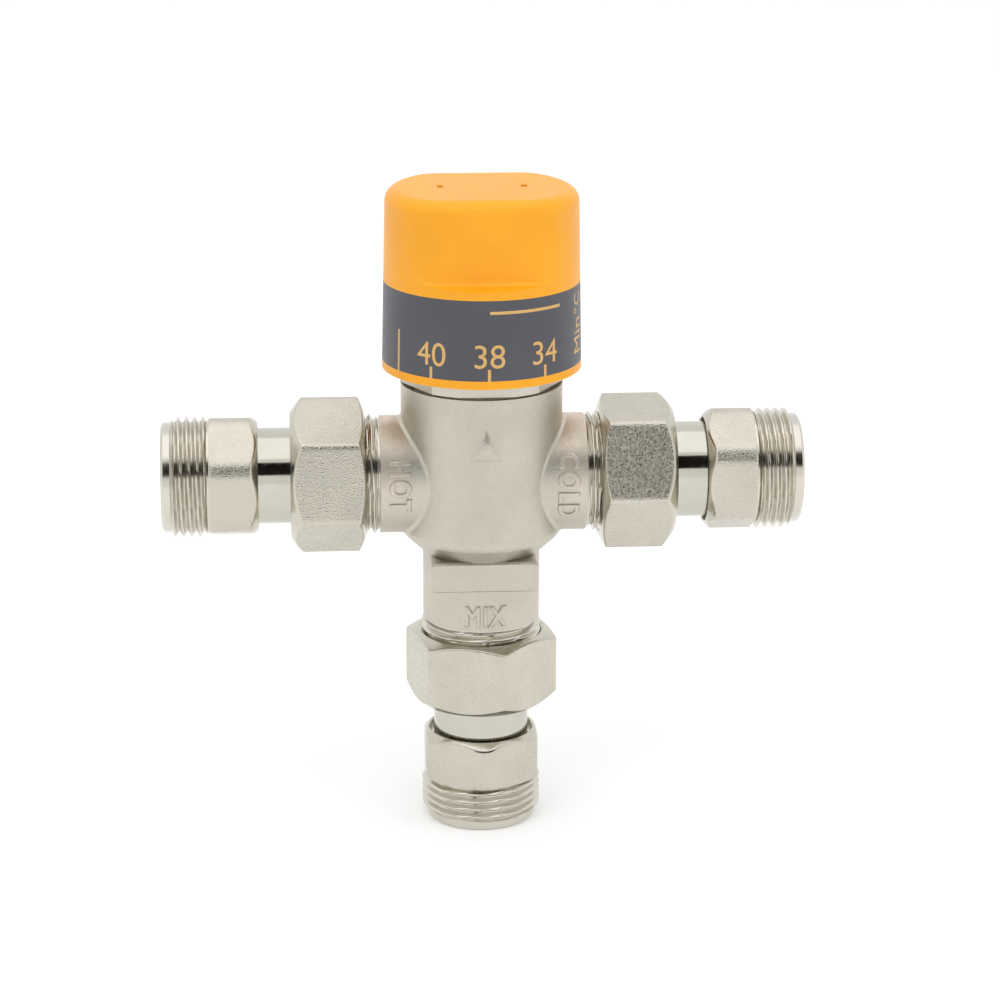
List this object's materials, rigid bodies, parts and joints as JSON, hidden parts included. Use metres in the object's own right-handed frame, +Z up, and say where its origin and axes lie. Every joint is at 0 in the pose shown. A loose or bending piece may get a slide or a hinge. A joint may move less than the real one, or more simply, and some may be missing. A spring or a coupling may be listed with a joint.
{
  "type": "thermostatic mixing valve",
  "caption": "Nickel-plated T-shaped thermostatic water mixing valve: orange temperature knob with a dark scale on top, union connections on both inlets and on the outlet.",
  "frame": {"origin": "centre of the mixed outlet's end face, at the foot of the valve", "axes": "+Z up along the spindle, +X along the cold inlet, the index mark and the front of the scale face -Y"},
  "size_m": [0.14, 0.0434, 0.1443],
  "materials": {
    "forged_nickel": "satin nickel plate over forged and machined brass",
    "turned_nickel": "bright nickel plate over fine turned brass",
    "turned_brass": "turned, dezincification-resistant brass",
    "orange_cap": "moulded orange ABS, semi-gloss",
    "scale_print": "dark grey printed scale wrap",
    "seal_rubber": "EPDM rubber, matt",
    "fibre_gasket": "compressed fibre, matt",
    "spring_steel": "stainless spring wire and strip",
    "stainless": "stainless steel",
    "copper_element": "drawn copper bulb with brass guide",
    "cartridge_plastic": "moulded engineering plastic"
  },
  "bodies": {
    "valve": {"valve_body": "forged_nickel", "bonnet": "forged_nickel", "bonnet_o_ring": "seal_rubber", "hot_gasket": "fibre_gasket", "cold_gasket": "fibre_gasket", "outlet_gasket": "fibre_gasket", "return_spring": "spring_steel"},
    "cap": {"control_cap": "orange_cap", "scale_band": "scale_print", "cap_plug": "orange_cap", "cap_screw": "stainless", "temperature_spindle": "turned_brass", "spindle_circlip": "spring_steel", "spindle_o_ring_lower": "seal_rubber", "spindle_o_ring_upper": "seal_rubber"},
    "adjuster_nut": {"adjuster": "turned_brass", "plunger_circlip": "spring_steel", "overload_spring": "spring_steel"},
    "plunger": {"overload_plunger": "turned_brass", "push_pin": "stainless"},
    "regulator": {"shuttle": "cartridge_plastic", "shuttle_o_ring": "seal_rubber", "wax_element": "copper_element"},
    "hot_connection": {"hot_tail": "turned_nickel", "hot_tail_o_ring": "seal_rubber", "hot_adapter": "forged_nickel", "hot_check_housing": "cartridge_plastic", "hot_check_spring": "spring_steel", "hot_strainer": "stainless"},
    "hot_nut": {"hot_union_nut": "forged_nickel"},
    "hot_poppet": {"hot_check_poppet": "cartridge_plastic"},
    "cold_connection": {"cold_tail": "turned_nickel", "cold_tail_o_ring": "seal_rubber", "cold_adapter": "forged_nickel", "cold_check_housing": "cartridge_plastic", "cold_check_spring": "spring_steel", "cold_strainer": "stainless"},
    "cold_nut": {"cold_union_nut": "forged_nickel"},
    "cold_poppet": {"cold_check_poppet": "cartridge_plastic"},
    "outlet_connection": {"outlet_tail": "turned_nickel", "outlet_tail_o_ring": "seal_rubber", "outlet_adapter": "forged_nickel"},
    "outlet_nut": {"outlet_union_nut": "forged_nickel"}
  },
  "joints": [
    {"name": "cap_turn", "type": "hinge", "parent": "valve", "child": "cap", "pos_m": [0, 0, 0.1248], "axis": [0, 0, 1], "range_deg": [-70, 90]},
    {"name": "adjuster_travel", "type": "slide", "parent": "valve", "child": "adjuster_nut", "axis": [0, 0, 1], "range_m": [-0.00117, 0.0015]},
    {"name": "overload_travel", "type": "slide", "parent": "adjuster_nut", "child": "plunger", "axis": [0, 0, 1], "range_m": [0, 0.0025], "stiffness_N_per_m": 5000, "deforming": ["overload_spring"]},
    {"name": "shuttle_travel", "type": "slide", "parent": "valve", "child": "regulator", "axis": [0, 0, 1], "range_m": [-0.0011, 0.0011], "stiffness_N_per_m": 2000, "deforming": ["return_spring"]},
    {"name": "hot_union_draw", "type": "slide", "parent": "valve", "child": "hot_connection", "axis": [-1, 0, 0], "range_m": [0, 0.00725]},
    {"name": "hot_nut_turn", "type": "hinge", "parent": "hot_connection", "child": "hot_nut", "pos_m": [-0.0338, 0, 0.0803], "axis": [-1, 0, 0], "range_deg": [0, 1440]},
    {"name": "cold_union_draw", "type": "slide", "parent": "valve", "child": "cold_connection", "axis": [1, 0, 0], "range_m": [0, 0.00725]},
    {"name": "cold_nut_turn", "type": "hinge", "parent": "cold_connection", "child": "cold_nut", "pos_m": [0.0338, 0, 0.0803], "axis": [1, 0, 0], "range_deg": [0, 1440]},
    {"name": "outlet_union_draw", "type": "slide", "parent": "valve", "child": "outlet_connection", "axis": [0, 0, -1], "range_m": [0, 0.00725]},
    {"name": "outlet_nut_turn", "type": "hinge", "parent": "outlet_connection", "child": "outlet_nut", "pos_m": [0, 0, 0.0362], "axis": [0, 0, -1], "range_deg": [0, 1440]},
    {"name": "hot_check_lift", "type": "slide", "parent": "hot_connection", "child": "hot_poppet", "axis": [1, 0, 0], "range_m": [0, 0.003], "stiffness_N_per_m": 50, "deforming": ["hot_check_spring"]},
    {"name": "cold_check_lift", "type": "slide", "parent": "cold_connection", "child": "cold_poppet", "axis": [-1, 0, 0], "range_m": [0, 0.003], "stiffness_N_per_m": 50, "deforming": ["cold_check_spring"]}
  ],
  "couplings": [
    {"joint": "cap_turn", "follows": "adjuster_travel", "rad_per_m": 1047.2},
    {"joint": "hot_nut_turn", "follows": "hot_union_draw", "rad_per_m": 3463.7},
    {"joint": "cold_nut_turn", "follows": "cold_union_draw", "rad_per_m": 3463.7},
    {"joint": "outlet_nut_turn", "follows": "outlet_union_draw", "rad_per_m": 3463.7}
  ]
}
